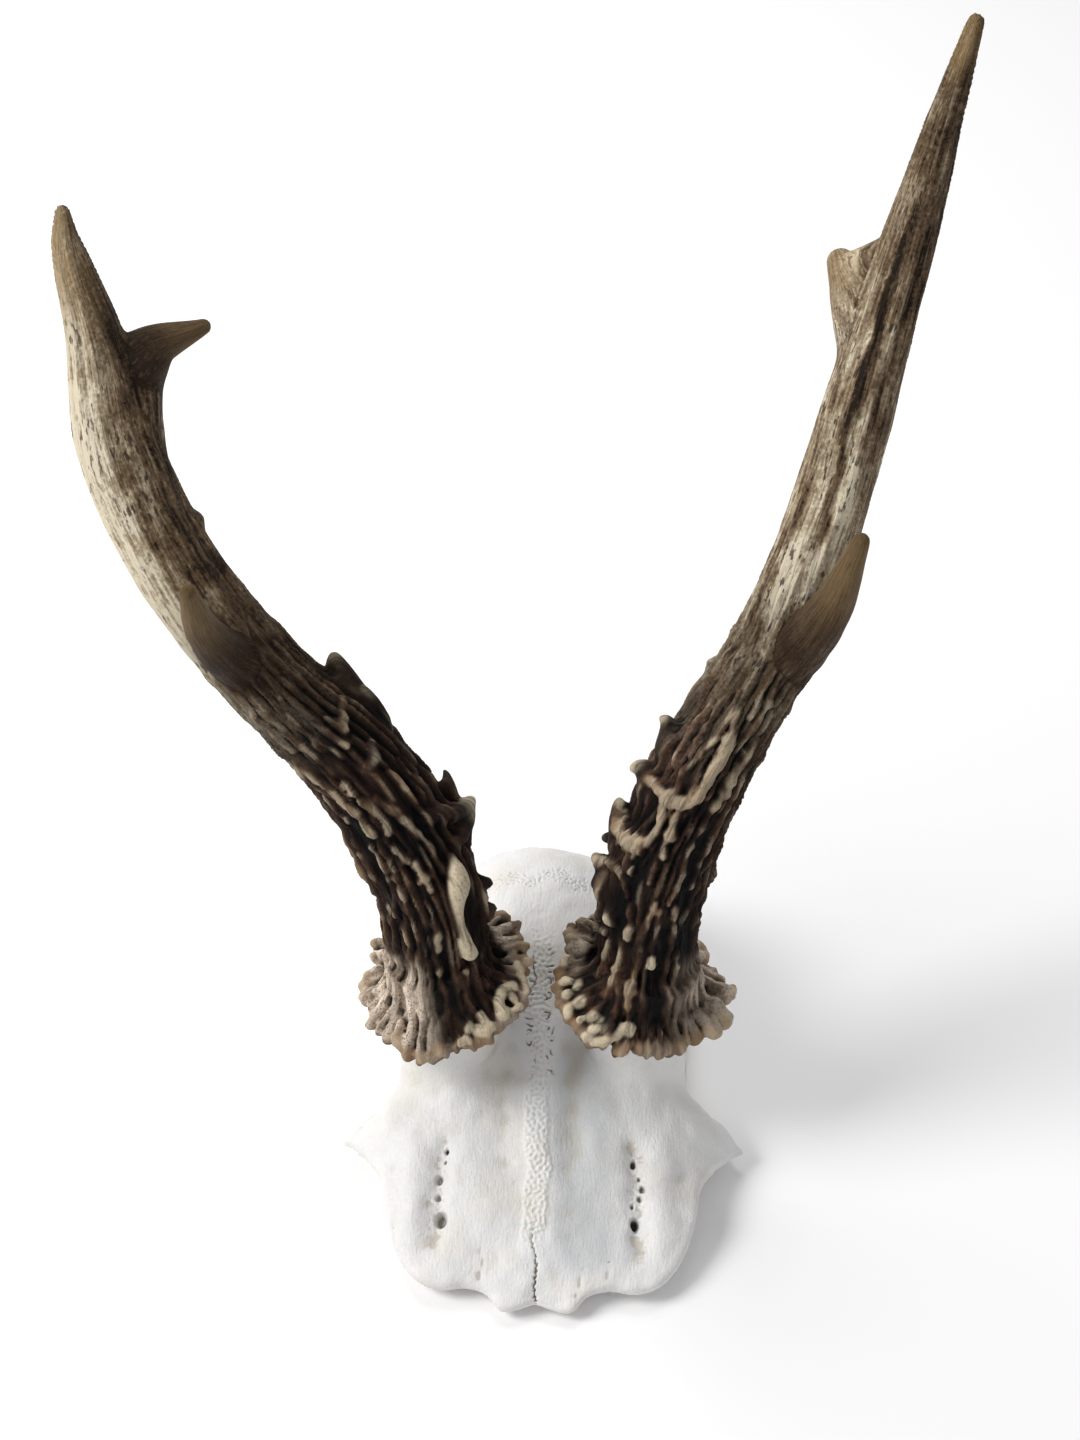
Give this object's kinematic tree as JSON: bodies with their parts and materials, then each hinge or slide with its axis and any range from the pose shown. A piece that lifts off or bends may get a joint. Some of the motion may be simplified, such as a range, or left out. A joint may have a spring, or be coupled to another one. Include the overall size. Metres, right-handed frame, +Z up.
{
  "type": "roe deer skull cap with antlers",
  "caption": "Cut roe buck skull cap: forehead and braincase bone with a pair of rough, pearled, three-pointed antlers on their burrs, standing on its flat saw cut.",
  "frame": {"origin": "centre of the bounding box in plan, at the level of the saw cut the skull cap stands on", "axes": "+Z up from the saw cut, -Y the way the face looks, +X the animal's left"},
  "size_m": [0.1498, 0.1172, 0.1937],
  "materials": {
    "bone": "clean bleached bone, dry and matt",
    "antler": "weathered antler, dark brown furrows, tan ridges and ivory tips, satin"
  },
  "bodies": {
    "root": {"frontal_bone_left": "bone", "frontal_bone_right": "bone", "parietal_bone": "bone", "burr_left": "antler", "beam_lower_left": "antler", "tine_front_left": "antler", "beam_middle_left": "antler", "tine_rear_left": "antler", "tine_main_left": "antler", "burr_right": "antler", "beam_lower_right": "antler", "tine_front_right": "antler", "beam_middle_right": "antler", "tine_rear_right": "antler", "tine_main_right": "antler"}
  },
  "joints": []
}
